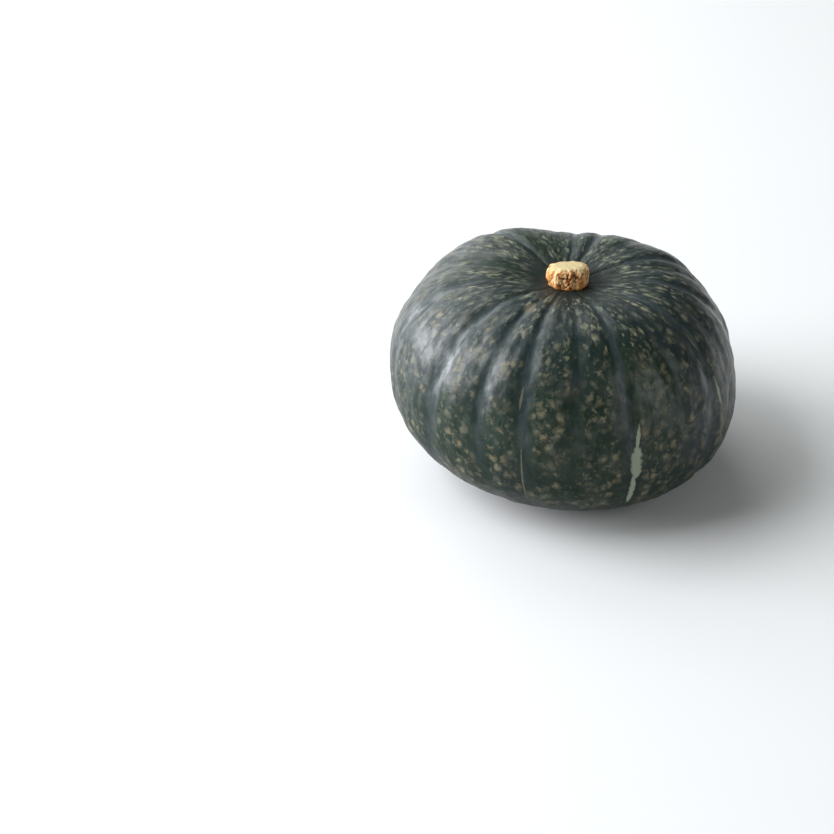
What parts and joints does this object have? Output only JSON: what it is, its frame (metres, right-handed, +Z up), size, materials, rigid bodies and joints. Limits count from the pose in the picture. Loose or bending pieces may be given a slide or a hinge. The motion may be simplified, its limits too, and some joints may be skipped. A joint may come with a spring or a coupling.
{
  "type": "kabocha pumpkin",
  "caption": "Squat dark green winter squash with shallow furrows, uneven shoulders, a corky cut stem in its top hollow and a corky blossom scar underneath.",
  "frame": {"origin": "middle of the bottom, on the surface that the pumpkin rests on", "axes": "+Z up through the stem, -Y to the side that the picture shows in front, +X to that view's right"},
  "size_m": [0.188, 0.1874, 0.1217],
  "materials": {
    "rind": "satin waxy dark green rind with pale speckles",
    "stem_cork": "matt dry cork, cream on top and tan at the sides",
    "scar_cork": "matt dry cork"
  },
  "bodies": {
    "root": {"fruit": "rind", "stem": "stem_cork", "blossom_scar": "scar_cork"}
  },
  "joints": []
}
